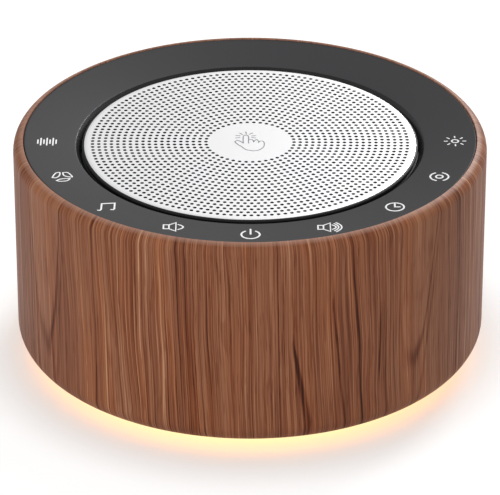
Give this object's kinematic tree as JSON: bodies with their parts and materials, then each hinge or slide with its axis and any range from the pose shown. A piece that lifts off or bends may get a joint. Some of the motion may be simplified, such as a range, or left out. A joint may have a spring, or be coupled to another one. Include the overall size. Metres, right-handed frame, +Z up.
{
  "type": "white noise sound machine",
  "caption": "Low round tabletop sound machine: wood-grain sleeve, dished touch-key ring, perforated metal speaker grille and a warm light ring underneath.",
  "frame": {"origin": "centre of the plane that the four rubber feet stand on", "axes": "+Z up through the loudspeaker, -Y to the front where the power key is, +Y to the USB-C inlet at the back"},
  "size_m": [0.1, 0.1, 0.05],
  "materials": {
    "wood_grain_film": "walnut wood-grain film over moulded ABS, satin",
    "panel_plastic": "fine satin, charcoal",
    "grille_aluminium": "perforated, bead-blasted and clear anodised",
    "plated_steel": "zinc plated",
    "acoustic_cloth": "fine black acoustic cloth",
    "frame_plastic": "moulded ABS",
    "circuit_board": "green solder mask",
    "spring_wire": "gold-plated spring wire",
    "contact_bronze": "phosphor bronze leaf",
    "screw_steel": "zinc plated, cross recess",
    "gasket_foam": "closed-cell foam",
    "basket_paint": "black powder coat on pressed steel",
    "terminal_board": "phenolic board",
    "cone_paper": "black doped paper",
    "coil_copper": "enamelled copper on a polyimide former",
    "surround_rubber": "butyl rubber",
    "spider_cloth": "phenolic-treated cloth",
    "magnet_ferrite": "sintered ferrite",
    "chip_epoxy": "black moulded epoxy",
    "capacitor_can": "bare can",
    "connector_nylon": "natural nylon",
    "socket_steel": "nickel plated",
    "lead_black": "PVC insulation",
    "lead_red": "PVC insulation",
    "lead_white": "PVC insulation",
    "ribbon_film": "polyester film",
    "lamp_board": "white solder mask",
    "lamp_phosphor": "warm white lamps",
    "diffuser_milky": "opal polycarbonate, lit from inside",
    "base_plastic": "moulded ABS, fine spark texture",
    "foot_rubber": "silicone rubber"
  },
  "bodies": {
    "housing": {"wood_grain_sleeve": "wood_grain_film", "touch_panel": "panel_plastic", "speaker_grille": "grille_aluminium", "grille_carrier": "plated_steel", "dust_mesh": "acoustic_cloth", "inner_frame": "frame_plastic", "touch_board": "circuit_board", "touch_springs": "spring_wire", "tap_contact": "contact_bronze", "panel_screws": "screw_steel", "speaker_gasket": "gasket_foam", "speaker_basket": "basket_paint", "speaker_terminal": "terminal_board", "surround": "surround_rubber", "spider": "spider_cloth", "top_plate": "plated_steel", "ring_magnet": "magnet_ferrite", "yoke": "plated_steel", "speaker_screws": "screw_steel", "main_board": "circuit_board", "board_chips": "chip_epoxy", "capacitors": "capacitor_can", "board_connectors": "connector_nylon", "usb_board": "circuit_board", "usb_socket": "socket_steel", "usb_tongue": "chip_epoxy", "usb_screws": "screw_steel", "usb_leads": "lead_black", "speaker_leads": "lead_red", "touch_ribbon": "ribbon_film", "led_leads": "lead_white", "led_board": "lamp_board", "leds": "lamp_phosphor", "light_ring": "diffuser_milky", "base_cover": "base_plastic", "base_screws": "screw_steel", "rubber_feet": "foot_rubber"},
    "cone": {"speaker_cone": "cone_paper", "dust_cap": "cone_paper", "voice_coil": "coil_copper"}
  },
  "joints": [
    {"name": "cone_travel", "type": "slide", "parent": "housing", "child": "cone", "axis": [0, 0, 1], "range_m": [-0.0012, 0.0012], "stiffness_N_per_m": 1500, "deforming": ["surround", "spider"]}
  ]
}
